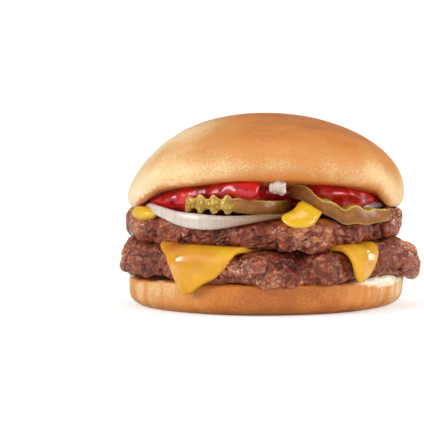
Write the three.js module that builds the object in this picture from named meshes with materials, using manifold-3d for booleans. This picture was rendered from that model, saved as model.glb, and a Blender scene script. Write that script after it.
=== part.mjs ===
// A double cheeseburger: two rough beef patties with a melted slice of cheese between them, onion,
// crinkle-cut pickle, mustard and ketchup, in a soft round bun.
// Millimetres, +Z up. The shown side faces -Y, and the bun stands on z = 0.
// Angles are in degrees, from +X towards +Y, so the shown side is round 270.

import * as THREE from "three";
import { mergeVertices } from "three/addons/utils/BufferGeometryUtils.js";
import Module from "manifold-3d";

const wasm = await Module();
wasm.setup();

// ---------- Driving dimensions ----------

const GROWTH = 0.42; // how far a piece's corners move out when it is cut from a softer neighbour
const SIDE_RISE = 1.8; // how much higher every filling lies at the burger's left and right ends
const HALF_WIDTH = 52; // where that rise is measured

const BUN_SIDES = 44;
const HEEL = {
  foot: 44.5,
  radius: 52.2,
  corner: 5,
  top: 11.7,
  lip: 1.6,
  slimmerRight: 0.024, // share of the radius by which its foot is drawn in on the right
  raisedEdge: { at: 329, width: 13, up: 1.2 },
};

const LOWER_PATTY = {
  bottom: 12,
  bottomRise: 0.3, // share of the rise at the ends that its lower face follows
  height: 12,
  topDish: 1.4, // how much lower its upper face lies inside the rim and along the cheese
  bottomDish: 0,
  radius: 54.2,
  crag: 0.6,
  lobes: [
    { at: 197, width: 14, out: 2.6 },
    { at: 222, width: 8, out: -2 },
    { at: 266, width: 12, out: 3.6 },
    { at: 285, width: 5, out: -1.4 },
    { at: 297, width: 8, out: 2.8 },
    { at: 311, width: 5, out: -1.2 },
    { at: 347, width: 20, out: 5 },
    { at: 55, width: 13, out: 1.8 },
    { at: 122, width: 15, out: 2 },
  ],
  droops: [
    { at: 272, width: 13, down: 1.7 },
    { at: 298, width: 12, down: 0.7 },
    { at: 329, width: 13, down: -1.6 },
    { at: 356, width: 12, down: 2 },
    { at: 95, width: 20, down: 0.8 },
    { at: 186, width: 12, down: 1 },
    { at: 208, width: 12, down: -0.8 },
  ],
  shoulders: [
    { at: 255, width: 8, down: 1.6 },
    { at: 282, width: 7.5, down: 3.6 },
    { at: 354, width: 15, down: 2.8 },
    { at: 190, width: 17, down: 0.6 },
  ],
};

const UPPER_PATTY = {
  bottom: 24.3,
  bottomRise: 1,
  height: 11.3,
  topDish: 0,
  bottomDish: 1.4,
  radius: 51.6,
  crag: 0.55,
  lobes: [
    { at: 195, width: 13, out: 1.4 },
    { at: 240, width: 14, out: -1.2 },
    { at: 286, width: 15, out: 3.6 },
    { at: 311, width: 7, out: 1 },
    { at: 326, width: 5, out: -5 },
    { at: 338, width: 9, out: 2.2 },
    { at: 30, width: 14, out: 1.6 },
    { at: 78, width: 9, out: -1.4 },
    { at: 105, width: 14, out: 2 },
  ],
  droops: [
    { at: 240, width: 26, down: 1 },
    { at: 282, width: 14, down: 0.8 },
    { at: 336, width: 13, down: -1.4 },
    { at: 192, width: 15, down: 1.2 },
    { at: 125, width: 24, down: 1 },
  ],
  shoulders: [{ at: 192, width: 15, down: -0.4 }],
};
// Droops lower the whole side of a patty, and shoulders only its upper edge.
const PATTY_EDGE = 0.11; // share of the radius taken by a patty's rounded side
const PATTY_SIDES = 64;

const CHEESE = {
  middle: 24.2,
  thickness: 2,
  radius: 44, // reach of the middles of its edges; the lobes are its corners
  lobes: [
    { at: 223.3, width: 6.9, out: 7.9 },
    { at: 236.8, width: 8.3, out: 24.4 },
    { at: 248.5, width: 8, out: 15.5 },
    { at: 256.4, width: 7.1, out: 8.3 },
    { at: 279, width: 10, out: -5 },
    { at: 299.8, width: 5.6, out: 8.6 },
    { at: 306, width: 4.8, out: 17.8 },
    { at: 311, width: 3, out: 5.5 },
    { at: 314, width: 5.1, out: 13.8 },
    { at: 50, width: 15, out: 21 },
    { at: 138, width: 17, out: 18 },
  ],
  bend: 5.6, // radius of its fold over the lower patty's edge
  standOff: 1.9,
  hem: 2.5, // the least that its rim lies beyond the start of the fold
  sides: 64,
};

const CROWN = {
  radius: 52.2,
  cutRadius: 49.4,
  apex: 72.6,
  apexBack: 4,
  restingRim: 38.2, // height of the cut face at the left and right ends
  crossArch: 1.4, // how much higher it is over the middle
  rimRound: 4.4,
  backLift: 1.4, // how much higher the fillings hold it at the back
  frontLift: 9.8, // and at the front
  liftStart: 10, // the Y behind which it lies level
  leftFall: [38, 50], // distances from the middle between which that lift runs out
  rightFall: [39.5, 46],
  leftDroop: 1.9, // how far its left end hangs below that
  rightDroop: 0.9,
  endFall: [42, 50],
  widerLeft: 0.014, // share of the radius by which its left side stands out
  slimmerLeft: 0.06, // share of the radius by which its left shoulder is drawn in
  fullerRight: 0.016,
};

const RING_LEFT = { x: -9.5, y: -15, radius: 36, wall: 2.6, high: 37.2, low: 36.15 };
const RING_SIDES = 36;
const RING_RIGHT = { x: 27, y: -7, radius: 18.5, wall: 2.6, high: 38.4, low: 36.4 };
const ONION_BIT = { x: 4.3, y: -48.4, z: 46.9, width: 6.8, depth: 6, height: 5.9 };

const PICKLE_LEFT = {
  x: -10.6,
  y: -29.6,
  z: 40.5,
  long: 20.3,
  short: 18.6,
  thickness: 5.3,
  ridge: 0.85,
  pitch: 5,
  crest: 3.4, // distance from the middle to a crest
  ridgesFrom: [-0.5, 3.5], // distances, towards the left, between which the ridges grow
  lowerRidge: -1, // height of its lower face's ridges over that of its upper face's
  across: 178, // direction across the ridges
};
const PICKLE_RIGHT = {
  x: 26.6,
  y: -31.4,
  z: 35.9,
  long: 19.4,
  short: 16.2,
  thickness: 5.2,
  ridge: 0.7,
  pitch: 8.6,
  crest: -6.6,
  ridgesFrom: [-14, -5],
  lowerRidge: 0.4,
  across: 14,
  climb: 9.6, // rise from its hanging right end to its left end
  climbFrom: [0.4, 1], // shares of its length, from the right, between which it climbs
  sink: 1.5, // how much lower it lies behind its front edge
};

const BLUNT_END = 0.025; // share of a chip's squared width that is left at its first and last strip

const MUSTARD_FRONT = {
  at: 285,
  radius: 52,
  z: 37.9,
  along: 18.5,
  deep: 6,
  high: 9.2,
  slope: 0.4, // how steeply it climbs along the rim
  curl: 0.022, // how much steeper it gets with each millimetre
  lean: 0.95, // how far it leans in for each millimetre up
};
const MUSTARD_LEFT = {
  at: 205,
  radius: 50.4,
  z: 35.9,
  along: 18,
  deep: 7,
  high: 5.4,
  slope: 0,
  curl: 0,
  lean: 0,
};
const MUSTARD_BACK = { ...MUSTARD_LEFT, at: 100, radius: 49.4, z: 35.2, along: 17 };

const KETCHUP = {
  bottom: 36.8,
  innerBottom: 37.75,
  radius: 47,
  gap: 1.1,
  least: 0.8,
  recess: 9, // how far it stays back behind the right pickle's left end
  recessFrom: [265.5, 269],
  recessTo: [288, 296],
  undercut: 6, // how far its lower half stays back behind both pickles
  undercutFrom: [228, 238],
  undercutTo: [300, 320],
  raised: { at: 332, width: 14, up: 1.6 }, // where its lower face leaves the onion in view
  sides: 40,
};

// ---------- Small helpers ----------

const { smoothstep, degToRad, lerp } = THREE.MathUtils;

function angleOf(x, y) {
  return (THREE.MathUtils.radToDeg(Math.atan2(y, x)) + 360) % 360;
}

// 1 where the angle is at the centre, falling smoothly to 0 at about twice the width.
function bump(angle, at, width) {
  const off = ((angle - at + 540) % 360) - 180;
  return Math.exp(-((off / width) ** 2));
}

// The outline of a piece with lobes: its radius at an angle.
function lobedRadius({ radius, lobes }, angle) {
  return lobes.reduce((sum, lobe) => sum + lobe.out * bump(angle, lobe.at, lobe.width), radius);
}

function sideRise(x) {
  return SIDE_RISE * (x / HALF_WIDTH) ** 2;
}

// Keeps only the corners' places, each corner once, and drops triangles with no area.
function body(geometry) {
  geometry.deleteAttribute("normal");
  geometry.deleteAttribute("uv");
  const merged = mergeVertices(geometry, 1e-4);
  const kept = [];
  const index = merged.index.array;
  for (let i = 0; i < index.length; i += 3) {
    const [a, b, c] = [index[i], index[i + 1], index[i + 2]];
    if (a !== b && b !== c && c !== a) kept.push(a, b, c);
  }
  merged.setIndex(kept);
  return merged;
}

function deform(geometry, place) {
  const position = geometry.attributes.position;
  const point = new THREE.Vector3();
  for (let i = 0; i < position.count; i++) {
    point.fromBufferAttribute(position, i);
    place(point);
    position.setXYZ(i, point.x, point.y, point.z);
  }
  return geometry;
}

// A body turned round the Z axis from [radius, height] pairs.
function turned(pairs, sides) {
  const profile = pairs.map(([r, z]) => new THREE.Vector2(r, z));
  return body(new THREE.LatheGeometry(profile, sides).rotateX(Math.PI / 2));
}

function solidOf(geometry) {
  return new wasm.Manifold(
    new wasm.Mesh({
      numProp: 3,
      vertProperties: geometry.attributes.position.array,
      triVerts: new Uint32Array(geometry.index.array),
    }),
  );
}

function geometryOf(solid) {
  const { vertProperties, triVerts } = solid.getMesh();
  return new THREE.BufferGeometry()
    .setAttribute("position", new THREE.BufferAttribute(new Float32Array(vertProperties), 3))
    .setIndex(new THREE.BufferAttribute(new Uint32Array(triVerts), 1));
}

// The same body with its corners moved out along their normals.
function grown(geometry) {
  const wider = geometry.clone();
  wider.computeVertexNormals();
  const { position, normal } = wider.attributes;
  for (let i = 0; i < position.count; i++) {
    position.setXYZ(
      i,
      position.getX(i) + GROWTH * normal.getX(i),
      position.getY(i) + GROWTH * normal.getY(i),
      position.getZ(i) + GROWTH * normal.getZ(i),
    );
  }
  wider.deleteAttribute("normal");
  return wider;
}

// The room a pickle chip takes in softer neighbours: the chip without its waves.
function roomFor(chip) {
  return { ...chip, ridge: 0, thickness: chip.thickness + 2 * chip.ridge };
}

// A soft piece with room made for its firmer neighbours. Only its largest part is kept.
function pressedBy(geometry, neighbours) {
  const cut = neighbours.reduce((rest, n) => rest.subtract(solidOf(grown(n))), solidOf(geometry));
  const parts = cut.decompose();
  const largest = parts.reduce((best, part) => (part.volume() > best.volume() ? part : best));
  return geometryOf(largest);
}

// ---------- Bun ----------

// The heel: a flat foot, a round corner, a nearly upright wall with a few creases, and a flat cut face.
function heelShape() {
  const { foot, radius, corner, top, lip, slimmerRight, raisedEdge } = HEEL;
  const pairs = [
    [0, 0],
    [foot * 0.6, 0],
  ];
  for (let i = 0; i <= 4; i++) {
    const a = degToRad((i / 4) * 90);
    pairs.push([foot + (radius - 0.2 - foot) * Math.sin(a), corner * (1 - Math.cos(a))]);
  }
  pairs.push([radius, top * 0.75]);
  pairs.push([radius - lip * 0.3, top - lip * 0.3]);
  pairs.push([radius - lip, top]);
  pairs.push([foot * 0.6, top]);
  pairs.push([0, top]);
  return deform(turned(pairs, BUN_SIDES), (p) => {
    const angle = angleOf(p.x, p.y);
    const turn = degToRad(angle);
    const wall = smoothstep(Math.hypot(p.x, p.y), foot * 0.8, foot);
    const uneven = 0.35 * Math.sin(3 * turn + 0.6) + 0.25 * Math.sin(7 * turn + 2);
    const crease = 0.7 * bump(angle, 207, 3) + 0.6 * bump(angle, 62, 3) + 0.6 * bump(angle, 330, 3);
    const slim = slimmerRight * smoothstep(Math.cos(turn), 0, 0.8) * (1 - p.z / top);
    const scale = 1 + (wall * (uneven - crease)) / radius - slim;
    const raised = raisedEdge.up * bump(angle, raisedEdge.at, raisedEdge.width);
    p.z += raised * wall * smoothstep(p.z, top * 0.7, top);
    p.x *= scale;
    p.y *= scale;
  });
}

// Height of the crown's cut face: nearly level at the back, tilted up over the fillings towards the
// front, and drooping to rest at the left and right ends.
function crownUnderside(x, y) {
  const { radius, restingRim, crossArch, backLift, frontLift, liftStart } = CROWN;
  const { leftFall, rightFall, leftDroop, rightDroop, endFall } = CROWN;
  const droop = x < 0 ? 0.75 * smoothstep(-x, ...leftFall) : 0.95 * smoothstep(x, ...rightFall);
  const tilt = Math.max((liftStart - y) / (liftStart + 50), 0) ** 1.3;
  const arch = crossArch * (1 - (x / radius) ** 2);
  const ends = (x < 0 ? leftDroop : rightDroop) * smoothstep(Math.abs(x), ...endFall);
  return restingRim + arch - ends + backLift * smoothstep(y, -5, 30) + frontLift * tilt * (1 - droop);
}

// The crown: each upright section is a quarter ellipse from its widest level to the shared apex.
function crownShape() {
  const { radius, cutRadius, apex, apexBack, rimRound, widerLeft, slimmerLeft, fullerRight } = CROWN;
  const cutFace = [0, 0.45, 0.75, 0.9, 1].map((share) => [share * cutRadius, 0]);
  const rim = [30, 60].map((a) => {
    const turn = degToRad(a);
    return [lerp(cutRadius, radius, Math.sin(turn)), 1 - Math.cos(turn)];
  });
  const dome = [];
  for (let i = 0; i <= 8; i++) {
    const turn = degToRad((i * 90) / 8);
    dome.push([i === 8 ? 0 : radius * Math.cos(turn), 1 + Math.sin(turn)]);
  }
  return deform(turned([...cutFace, ...rim, ...dome], BUN_SIDES), (p) => {
    const r = Math.hypot(p.x, p.y);
    const turn = Math.atan2(p.y, p.x);
    const rimHeight = crownUnderside(cutRadius * Math.cos(turn), cutRadius * Math.sin(turn));
    const widest = rimHeight + rimRound;
    const uneven = 0.3 * Math.sin(3 * turn + 2.2) + 0.25 * Math.sin(5 * turn + 0.4);
    const level = p.z;
    if (level === 0) p.z = r < cutRadius - 0.01 ? crownUnderside(p.x, p.y) : rimHeight;
    else if (level < 1) p.z = rimHeight + level * rimRound;
    else p.z = widest + (level - 1) * (apex - widest);
    const steep = Math.max(level - 1, 0); // sine of the dome's angle
    const shoulder = 2 * steep * Math.sqrt(1 - steep * steep);
    const leftness = Math.max(-Math.cos(turn), 0);
    const rightness = Math.max(Math.cos(turn), 0);
    const fuller = (widerLeft - slimmerLeft * shoulder) * leftness + fullerRight * shoulder * rightness;
    const scale = 1 + fuller + (r > cutRadius * 0.9 && level < 1.9 ? uneven / radius : 0);
    p.x *= scale;
    p.y = p.y * scale + apexBack * steep ** 2;
  });
}

// ---------- Beef ----------

// A rough disc with a rounded side, an uneven lobed outline, drooping lips and crags round its side.
function pattyShape(patty) {
  const pairs = [
    [0, 0],
    [0.7, 0],
  ];
  for (let a = -80; a <= 80; a += 40) {
    const turn = degToRad(a);
    const upright = Math.sign(a) * Math.abs(Math.sin(turn)) ** 0.9;
    pairs.push([1 - PATTY_EDGE * (1 - Math.cos(turn) ** 0.75), 0.5 + 0.5 * upright]);
  }
  pairs.push([0.7, 1]);
  pairs.push([0, 1]);
  return deform(turned(pairs, PATTY_SIDES), (p) => {
    const share = Math.hypot(p.x, p.y);
    const angle = angleOf(p.x, p.y);
    const turn = degToRad(angle);
    const side = smoothstep(share, 0.8, 0.97);
    const cheesed = smoothstep(lobedRadius(CHEESE, angle), CHEESE.radius + 2, CHEESE.radius + 6);
    const level = p.z;
    const crags =
      Math.sin(8 * turn + 4 * level + patty.bottom) +
      Math.sin(13 * turn - 5 * level + 1.3) +
      Math.sin(5 * turn + 7 * level + 2.6);
    const smoothed = 1 - 0.6 * cheesed * level * (patty.topDish > 0 ? 1 : 0);
    const reach = lobedRadius(patty, angle) + side * smoothed * patty.crag * crags;
    const loweredBy = (bells) => bells.reduce((sum, d) => sum + d.down * bump(angle, d.at, d.width), 0);
    const droop = loweredBy(patty.droops) + level * loweredBy(patty.shoulders);
    const stretch = share > 0 ? reach : 0;
    p.x *= stretch;
    p.y *= stretch;
    const rise = sideRise(p.x) * lerp(patty.bottomRise, 1, level);
    const inside = Math.max(1 - smoothstep(share, 0.7, 0.9), cheesed);
    const dish = inside * lerp(patty.bottomDish, -patty.topDish, level);
    p.z = patty.bottom + level * patty.height + dish + rise - side * droop;
  });
}

// ---------- Cheese ----------

// Where a point of the flat slice ends up, at a reach from its middle: flat between the patties,
// round the lower patty's edge and down its side. out is the height over the slice's middle layer.
function draped(reach, angle, out) {
  const { middle, bend, standOff } = CHEESE;
  const flatEnd = lobedRadius(LOWER_PATTY, angle) + standOff - bend;
  const bent = Math.min(Math.max(reach - flatEnd, 0), bend * (Math.PI / 2));
  const turn = bent / bend;
  const fall = Math.max(reach - flatEnd - bent, 0);
  const r = Math.min(reach, flatEnd) + (bend + out) * Math.sin(turn);
  const x = r * Math.cos(degToRad(angle));
  const y = r * Math.sin(degToRad(angle));
  return [x, y, middle + sideRise(x) - bend * (1 - Math.cos(turn)) - fall + out * Math.cos(turn)];
}

// A thin slice whose corners hang down. Its rings lie flat up to the fold and follow it from there.
function cheeseShape() {
  const { thickness, standOff, bend, hem, sides } = CHEESE;
  const flat = [0, 0.8, 1];
  const hanging = [1.3, 1.6, 1.85];
  const lower = [...flat, ...hanging].map((step) => [step, -1]);
  const upper = [...flat, ...hanging].reverse().map((step) => [step, 1]);
  return deform(turned([...lower, [2, 0], ...upper], sides), (p) => {
    const even = angleOf(p.x, p.y);
    const angle = even - 26 * Math.cos(degToRad(even)); // crowds the rings' corners to the front
    const step = Math.hypot(p.x, p.y);
    const outline = lobedRadius(CHEESE, angle);
    const flatEnd = Math.min(lobedRadius(LOWER_PATTY, angle) + standOff - bend, outline - hem);
    const reach = step < 1 ? step * flatEnd : lerp(flatEnd, outline, step - 1);
    p.set(...draped(reach, angle, (p.z * thickness) / 2));
  });
}

// ---------- Onion ----------

// A ring of onion with an oval section, lying on the upper patty. dipAt gives how far its lower
// edge sags below that at an angle, and swellAt how far its upper edge stands above the ring's height.
function ringShape(ring, dipAt, swellAt) {
  const pairs = [];
  for (let i = 0; i <= 6; i++) {
    const turn = degToRad(60 * i + 30);
    const level = Math.sign(Math.round(2 * Math.sin(turn)));
    const width = level === 0 ? 1 : 0.7;
    pairs.push([ring.radius + (ring.wall / 2) * (width * Math.sign(Math.cos(turn)) - 1), level]);
  }
  return deform(turned(pairs, RING_SIDES), (p) => {
    const angle = angleOf(p.x, p.y);
    const wobble = 1 + 0.012 * Math.sin(degToRad(3 * angle + 40));
    p.x = ring.x + p.x * wobble;
    p.y = ring.y + p.y * wobble;
    const low = ring.low + sideRise(p.x) - dipAt(angle);
    p.z = lerp(low, ring.high + swellAt(angle), (1 + p.z) / 2);
  });
}

// The larger ring stands up at its left end and sags over the upper patty's front edge.
function ringLeftShape() {
  return ringShape(
    RING_LEFT,
    (angle) => 5.1 * bump(angle, 243, 34),
    (angle) => 2.4 * bump(angle, 198, 26) - 1.75 * bump(angle, 264, 19),
  );
}

// The smaller ring shows at its right end.
function ringRightShape() {
  return ringShape(
    RING_RIGHT,
    () => 0,
    (angle) => 1.2 * bump(angle, 325, 40),
  );
}

// A small wet chunk of onion with blunt corners.
function onionBitShape() {
  const { x, y, z, width, depth, height } = ONION_BIT;
  return deform(body(new THREE.IcosahedronGeometry(0.5, 2)), (p) => {
    const chip = 1 + 0.12 * Math.sin(9 * p.x + 2) + 0.12 * Math.sin(8 * p.z + 5 * p.y);
    p.set(x + width * chip * p.x, y + depth * chip * p.y, z + height * chip * p.z);
  });
}

// ---------- Pickle ----------

// A crinkle-cut chip: a box whose cross strips are as long as the chords of a circle, with waves
// across it that grow towards its right end or its left end, as side is -1 or 1. settle gives the
// height of the chip's middle at a place.
function pickleShape(chip, side, settle) {
  const strips = Math.round((2 * chip.long) / (chip.pitch / 4));
  const across = degToRad(chip.across);
  return deform(body(new THREE.BoxGeometry(2, 2, 2, strips, 4, 1)), (p) => {
    const along = p.x * chip.long;
    const chord = p.y * chip.short * Math.sqrt(1 - (1 - BLUNT_END) * p.x * p.x);
    const ridge = chip.ridge * smoothstep(side > 0 ? -along : along, ...chip.ridgesFrom);
    const wave = ridge * Math.cos((2 * Math.PI * (along - chip.crest)) / chip.pitch);
    const face = (p.z * chip.thickness) / 2 + wave * lerp(chip.lowerRidge, 1, (1 + p.z) / 2);
    p.x = chip.x + along * Math.cos(across) - chord * Math.sin(across);
    p.y = chip.y + along * Math.sin(across) + chord * Math.cos(across);
    p.z = settle(p.x, p.y) + face;
  });
}

function pickleLeftShape(chip) {
  return pickleShape(chip, -1, () => chip.z);
}

function pickleRightShape(chip) {
  const { x: middle, y: centre, z, long, short, climb, climbFrom, sink } = chip;
  return pickleShape(chip, 1, (x, y) => {
    const fromEnd = (middle + long - x) / (2 * long);
    const inward = smoothstep(y, centre - short * 0.7, centre + short) * (1 - fromEnd);
    return z + climb * smoothstep(fromEnd, ...climbFrom) - sink * inward;
  });
}

// ---------- Sauces ----------

// A flat layer whose outline, lower face and upper face are given as functions.
function layerShape(radiusAt, lowAt, highAt, sides) {
  const pairs = [
    [0, -1],
    [0.7, -1],
    [0.92, -1],
    [1, -0.4],
    [1, 0.4],
    [0.92, 1],
    [0.7, 1],
    [0, 1],
  ];
  return deform(turned(pairs, sides), (p) => {
    const level = (1 + p.z) / 2;
    const reach = radiusAt(angleOf(p.x, p.y), level);
    p.x *= reach;
    p.y *= reach;
    p.z = lerp(lowAt(p.x, p.y), highAt(p.x, p.y), level);
  });
}

// A smooth drop of sauce that lies along a patty's rim: a ball stretched to a size, at a place.
function dropShape({ at, radius, z, along, deep, high, slope, curl, lean }) {
  return deform(body(new THREE.SphereGeometry(0.5, 14, 10).rotateX(Math.PI / 2)), (p) => {
    const reach = along * p.x;
    const angle = degToRad(at) + reach / radius;
    const over = (slope + curl * reach) * reach + high * p.z;
    const r = radius - deep * p.y - lean * over;
    p.set(r * Math.cos(angle), r * Math.sin(angle), z + over);
  });
}

// 1 from one pair of angles to the other, rising and falling smoothly between the angles of a pair.
function between(angle, from, to) {
  return smoothstep(angle, ...from) * (1 - smoothstep(angle, ...to));
}

// Ketchup: fills what is left up to the crown, standing back over the pickles' visible rims.
function ketchupShape() {
  const { recess, recessFrom, recessTo, undercut, undercutFrom, undercutTo, raised } = KETCHUP;
  const reach = (angle, level) =>
    KETCHUP.radius +
    0.8 * Math.sin(degToRad(6 * angle + 30)) +
    1.5 * bump(angle, 222, 12) -
    recess * between(angle, recessFrom, recessTo) -
    undercut * (1 - smoothstep(level, 0.35, 0.8)) * between(angle, undercutFrom, undercutTo);
  return layerShape(
    reach,
    (x, y) => {
      const sag = smoothstep(Math.hypot(x, y), KETCHUP.radius * 0.72, KETCHUP.radius * 0.9);
      const up = sideRise(x) + raised.up * bump(angleOf(x, y), raised.at, raised.width);
      const bottom = lerp(KETCHUP.innerBottom, KETCHUP.bottom + up, sag);
      return Math.min(bottom, crownUnderside(x, y) - KETCHUP.gap - KETCHUP.least);
    },
    (x, y) => crownUnderside(x, y) - KETCHUP.gap,
    KETCHUP.sides,
  );
}

// ---------- Assembly ----------

const COLOURS = {
  bun: new THREE.MeshStandardMaterial({ color: 0xd9a05f, roughness: 0.62, metalness: 0 }),
  beef: new THREE.MeshStandardMaterial({ color: 0x7c4634, roughness: 0.5, metalness: 0 }),
  cheese: new THREE.MeshStandardMaterial({ color: 0xf0ac35, roughness: 0.38, metalness: 0 }),
  onion: new THREE.MeshStandardMaterial({ color: 0xd9cbbb, roughness: 0.3, metalness: 0 }),
  pickle: new THREE.MeshStandardMaterial({ color: 0x9c7a2e, roughness: 0.35, metalness: 0 }),
  mustard: new THREE.MeshStandardMaterial({ color: 0xe8bb30, roughness: 0.3, metalness: 0 }),
  ketchup: new THREE.MeshStandardMaterial({ color: 0xb3161a, roughness: 0.22, metalness: 0 }),
};

const pickleRight = pickleRightShape(PICKLE_RIGHT);
const pickleLeft = pressedBy(pickleLeftShape(PICKLE_LEFT), [pickleRight]);
const pickleRooms = [pickleLeftShape(roomFor(PICKLE_LEFT)), pickleRightShape(roomFor(PICKLE_RIGHT))];
const onionBit = pressedBy(onionBitShape(), pickleRooms);
const ringLeft = pressedBy(ringLeftShape(), pickleRooms);
const ringRight = pressedBy(ringRightShape(), [...pickleRooms, ringLeft]);
const toppings = [...pickleRooms, onionBit, ringLeft, ringRight];
const cheese = cheeseShape();
const lowerPatty = pressedBy(pattyShape(LOWER_PATTY), [cheese]);
const uncutPatty = pattyShape(UPPER_PATTY);
const upperPatty = pressedBy(uncutPatty, [cheese, lowerPatty, ...toppings]);
const bottomBun = pressedBy(heelShape(), [lowerPatty, cheese]);
const uncutCrown = crownShape();
const topBun = pressedBy(uncutCrown, toppings);
const firm = [uncutPatty, uncutCrown, ...toppings];
const mustardFront = pressedBy(dropShape(MUSTARD_FRONT), firm);
const mustardLeft = pressedBy(dropShape(MUSTARD_LEFT), firm);
const mustardBack = pressedBy(dropShape(MUSTARD_BACK), firm);
const mustards = [mustardFront, mustardLeft, mustardBack];
const ketchup = pressedBy(ketchupShape(), [...firm, ...mustards]);

const pieces = [
  ["bottom_bun", bottomBun, COLOURS.bun],
  ["lower_patty", lowerPatty, COLOURS.beef],
  ["cheese_slice", cheese, COLOURS.cheese],
  ["upper_patty", upperPatty, COLOURS.beef],
  ["mustard_front", mustardFront, COLOURS.mustard],
  ["mustard_left", mustardLeft, COLOURS.mustard],
  ["mustard_back", mustardBack, COLOURS.mustard],
  ["onion_ring_left", ringLeft, COLOURS.onion],
  ["onion_ring_right", ringRight, COLOURS.onion],
  ["onion_bit", onionBit, COLOURS.onion],
  ["pickle_left", pickleLeft, COLOURS.pickle],
  ["pickle_right", pickleRight, COLOURS.pickle],
  ["ketchup", ketchup, COLOURS.ketchup],
  ["top_bun", topBun, COLOURS.bun],
];

const burger = new THREE.Group();
for (const [name, geometry, material] of pieces) {
  const mesh = new THREE.Mesh(geometry, material);
  mesh.name = name;
  burger.add(mesh);
}

// The burger stands with the middle of its outline over the origin.
const outline = new THREE.Box3().setFromObject(burger);
burger.position.set(-(outline.min.x + outline.max.x) / 2, -(outline.min.y + outline.max.y) / 2, 0);

const part = new THREE.Group();
part.add(burger);

export default part;
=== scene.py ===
"""Dresses a double cheeseburger: bun, two beef patties, melted cheese, onion, crinkle-cut pickle,
mustard and ketchup. Every new piece is a surface worked out with numpy in millimetres round the
burger's upright axis, put into metres in the part's frame, and shown in place of one CAD node's
part, which is hidden. Angles are in degrees from +X towards +Y, so the shown side is round 270."""

import itertools
import math

import bpy
import numpy as np
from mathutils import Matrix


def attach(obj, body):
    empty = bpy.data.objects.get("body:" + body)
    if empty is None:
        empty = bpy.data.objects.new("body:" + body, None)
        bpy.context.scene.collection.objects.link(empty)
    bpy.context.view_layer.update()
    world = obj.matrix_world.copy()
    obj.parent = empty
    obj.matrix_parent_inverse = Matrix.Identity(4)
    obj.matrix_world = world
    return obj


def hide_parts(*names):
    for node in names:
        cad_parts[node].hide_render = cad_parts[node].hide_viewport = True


MM = 0.001
AXIS = np.array([-1.34, 1.08, 0.0])  # where the burger's axis stands in the part's frame, in mm

# ---------- The build's driving dimensions, in mm ----------

# A lobe, droop, shoulder, crease, dip or swell is a bell: its angle, its width in degrees, and how
# far out, down, in or up it goes.
HEEL = dict(
    foot=44.5, radius=52.2, corner=5.0, top=11.7, lip=1.6, slimmer_right=0.024,
    edge=[(329, 13, 1.2), (203, 14, -0.8)], torn=[(330, 17, 2.6), (40, 30, 0.3), (150, 30, 0.4)],
    stained=[(265, 26, 1), (204, 9, 0.8), (303, 6, 0.5)],
    creases=[
        (197.5, 0.8, 0.6), (209.2, 0.7, 0.8), (211.4, 0.5, 0.35), (221.2, 0.7, 0.4), (236.2, 0.6, 0.3),
        (238.4, 0.5, 0.25), (330, 1.5, 0.5), (62, 1.2, 0.7), (118, 1.0, 0.5), (20, 1.0, 0.4),
    ],
)
LOWER = dict(
    bottom=12.0, bottom_rise=0.3, height=12.0, radius=54.2,
    lobes=[
        (197, 14, 2.6), (222, 8, -2.0), (266, 12, 3.6), (285, 5, -1.4), (297, 8, 2.8), (311, 5, -1.2),
        (347, 20, 5.0), (55, 13, 1.8), (122, 15, 2.0),
    ],
    droops=[
        (272, 13, 1.7), (298, 12, 0.7), (329, 13, -1.6), (356, 12, 2.0), (95, 20, 0.8), (186, 12, 1.0),
        (208, 12, 0.7),
    ],
    shoulders=[(282, 7.5, 3.6), (255, 8, 1.6), (354, 15, 2.8), (190, 17, 0.6)],
)
UPPER = dict(
    bottom=24.3, bottom_rise=1.0, height=11.3, radius=51.6,
    lobes=[
        (195, 13, 1.4), (240, 14, -1.2), (286, 15, 3.6), (311, 7, 1.0), (326, 5, -5.0), (338, 9, 2.2),
        (30, 14, 1.6), (78, 9, -1.4), (105, 14, 2.0),
    ],
    droops=[(240, 26, 1.0), (282, 14, 0.8), (336, 13, -1.4), (192, 15, 1.2), (125, 24, 1.0)],
    shoulders=[(192, 15, -0.4), (281, 5, -1.8)],
)
CHEESE = dict(
    middle=24.2, thickness=2.0, radius=44.0,
    lobes=[
        (223.3, 6.9, 7.9), (236.8, 8.3, 24.4), (248.5, 8.0, 15.5), (256.4, 7.1, 8.3), (279, 10, -5.0),
        (299.8, 5.6, 8.6), (305.6, 4.8, 18.2), (310.5, 3.6, 5.6), (314, 5.1, 13.8), (50, 15, 21.0),
        (138, 17, 18.0),
    ],
    bend=5.6, stand_off=1.9, gathered=26,
    wet=[(233.5, 3.4, 1), (310.8, 3.0, 1), (60, 5, 1)], juicy=[(229.5, 5, 0.8)],
)
CROWN = dict(
    radius=52.2, cut_radius=49.4, apex=72.6, apex_back=4.0, resting_rim=38.2, cross_arch=1.4,
    rim_round=4.4, back_lift=1.4, front_lift=9.8, lift_start=10.0, left_fall=(38, 50),
    right_fall=(39.5, 46), left_droop=1.9, right_droop=0.9, wider_left=0.014, slimmer_left=0.06,
    fuller_right=0.016, rim_brown=0.39, top_brown=0.88, stained=[(272, 16, 1.9), (318, 5, 1.2)],
)
RING_LEFT = dict(
    x=-9.5, y=-15.0, radius=36.0, wall=2.6, high=37.2, low=36.15, dips=[(244, 35, 5.1)],
    swells=[(198, 26, 2.4), (261, 17, -0.6)], glassy=0.12, glassier=0.88, seed=500,
)
RING_RIGHT = dict(
    x=27.0, y=-7.0, radius=18.5, wall=2.6, high=38.4, low=36.4, dips=[], swells=[(325, 40, 2.0)],
    glassy=0, glassier=0, seed=510,
)
ONION_BIT = dict(middle=(3.7, -48.2, 47.2), halves=(3.0, 2.7, 2.7), squarer=0.97, longer_right=0.18)
KETCHUP = dict(
    reach=47.2, swells=[(222, 12, 1.5)], lobe=(258, 11), lobe_out=3.6, behind_hanging=9,
    behind_both=4.5, underside=37.4, raised=[(332, 14, 1.6)],
)
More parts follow.
